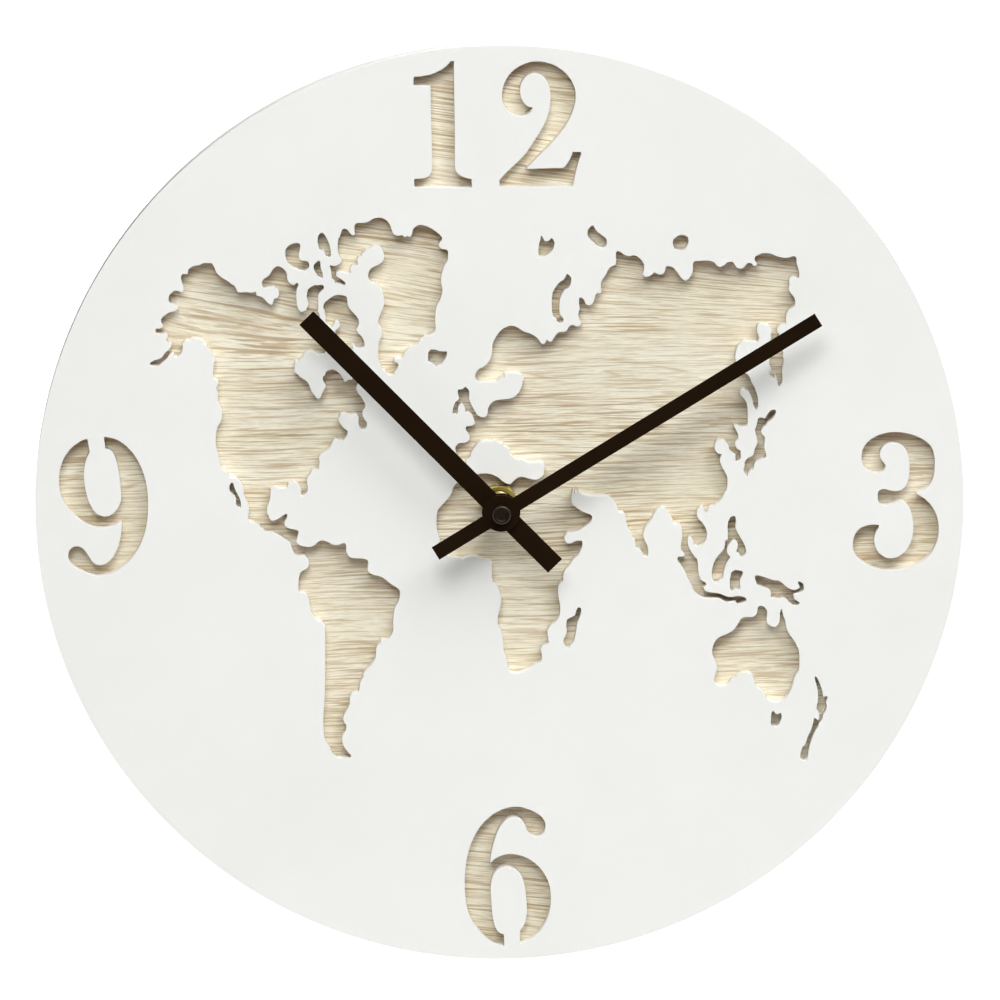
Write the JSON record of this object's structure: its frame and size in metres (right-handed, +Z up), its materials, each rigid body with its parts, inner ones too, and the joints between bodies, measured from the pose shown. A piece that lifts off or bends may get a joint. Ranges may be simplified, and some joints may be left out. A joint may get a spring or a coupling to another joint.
{
  "type": "wall clock",
  "caption": "Round wall clock: white disc with a cut-through world map and numerals over a pale oak disc, dark baton hands, quartz movement behind.",
  "frame": {"origin": "on the axis of the hands, in the wall plane: the flat rear face of the movement cover", "axes": "+Z up when hung, +Y into the wall so the dial faces -Y, +X to the right seen from the front; metres"},
  "size_m": [0.3, 0.045, 0.3],
  "materials": {
    "white_board": "white lacquered 5 mm fibreboard, satin",
    "oak_board": "pale oak printed or veneered 3 mm fibreboard, matt",
    "dark_metal": "very dark brown-black satin paint on sheet aluminium",
    "brass": "plain turned brass",
    "black_plastic": "moulded black plastic, fine grain",
    "natural_plastic": "natural acetal moulding",
    "yellow_plastic": "yellow acetal moulding",
    "steel": "plain sheet steel",
    "nickel": "nickel-plated spring strip",
    "ferrite": "sintered ring magnet",
    "copper_wire": "enamelled copper wire",
    "green_plastic": "green moulded bobbin",
    "board_green": "glass-epoxy board with solder mask",
    "epoxy": "black epoxy blob",
    "cell_wrap": "plain dark shrink wrap on a steel can",
    "rubber": "black rubber"
  },
  "bodies": {
    "clock_body": {"front_plate": "white_board", "back_plate": "oak_board", "rubber_gasket": "rubber", "dial_washer": "brass", "hex_nut": "brass", "threaded_bush": "brass", "movement_case": "black_plastic", "rear_cover": "black_plastic", "train_bridge": "natural_plastic", "stator": "steel", "coil_core": "steel", "coil_bobbin": "green_plastic", "coil_winding": "copper_wire", "circuit_board": "board_green", "control_chip": "epoxy", "quartz_crystal": "nickel", "negative_contact": "nickel", "positive_contact": "nickel"},
    "minute_body": {"minute_arbor": "brass", "minute_hand": "dark_metal", "minute_hand_collet": "dark_metal", "centre_cap": "dark_metal"},
    "hour_body": {"hour_wheel": "yellow_plastic", "hour_hand": "dark_metal", "hour_hand_collet": "dark_metal"},
    "motion_body": {"motion_wheel": "natural_plastic"},
    "knob_body": {"setting_knob": "natural_plastic"},
    "centre_body": {"centre_gear": "natural_plastic"},
    "third_body": {"third_wheel": "natural_plastic"},
    "second_body": {"second_wheel": "natural_plastic"},
    "intermediate_body": {"intermediate_wheel": "natural_plastic"},
    "rotor_body": {"rotor_pinion": "natural_plastic", "rotor_magnet": "ferrite"},
    "battery_body": {"aa_battery": "cell_wrap"}
  },
  "joints": [
    {"name": "minute_turn", "type": "hinge", "parent": "clock_body", "child": "minute_body", "pos_m": [0, -0.0412, 0], "axis": [0, 1, 0], "continuous": true},
    {"name": "hour_turn", "type": "hinge", "parent": "clock_body", "child": "hour_body", "pos_m": [0, -0.039, 0], "axis": [0, 1, 0], "continuous": true},
    {"name": "motion_turn", "type": "hinge", "parent": "clock_body", "child": "motion_body", "pos_m": [0.01128, -0.0116, -0.0041], "axis": [0, 1, 0], "continuous": true},
    {"name": "knob_turn", "type": "hinge", "parent": "clock_body", "child": "knob_body", "pos_m": [0.01728, -0.0014, 0.00629], "axis": [0, 1, 0], "continuous": true},
    {"name": "second_turn", "type": "hinge", "parent": "clock_body", "child": "second_body", "pos_m": [0, -0.0068, 0], "axis": [0, 1, 0], "continuous": true},
    {"name": "intermediate_turn", "type": "hinge", "parent": "clock_body", "child": "intermediate_body", "pos_m": [-0.00885, -0.0056, -0.00619], "axis": [0, 1, 0], "continuous": true},
    {"name": "rotor_turn", "type": "hinge", "parent": "clock_body", "child": "rotor_body", "pos_m": [0.00074, -0.0036, -0.00968], "axis": [0, 1, 0], "continuous": true},
    {"name": "third_turn", "type": "hinge", "parent": "clock_body", "child": "third_body", "pos_m": [-0.0106, -0.008, 0.00612], "axis": [0, 1, 0], "continuous": true},
    {"name": "centre_turn", "type": "hinge", "parent": "clock_body", "child": "centre_body", "pos_m": [0, -0.0104, 0], "axis": [0, 1, 0], "continuous": true},
    {"name": "battery_slide", "type": "slide", "parent": "clock_body", "child": "battery_body", "axis": [0, 1, 0], "range_m": [0, 0.018]}
  ],
  "couplings": [
    {"joint": "hour_turn", "follows": "minute_turn", "ratio": 0.083333},
    {"joint": "motion_turn", "follows": "minute_turn", "ratio": -0.33333},
    {"joint": "knob_turn", "follows": "minute_turn", "ratio": 1},
    {"joint": "intermediate_turn", "follows": "second_turn", "ratio": -4},
    {"joint": "rotor_turn", "follows": "second_turn", "ratio": 30},
    {"joint": "third_turn", "follows": "second_turn", "ratio": -0.13333},
    {"joint": "centre_turn", "follows": "second_turn", "ratio": 0.016667}
  ]
}
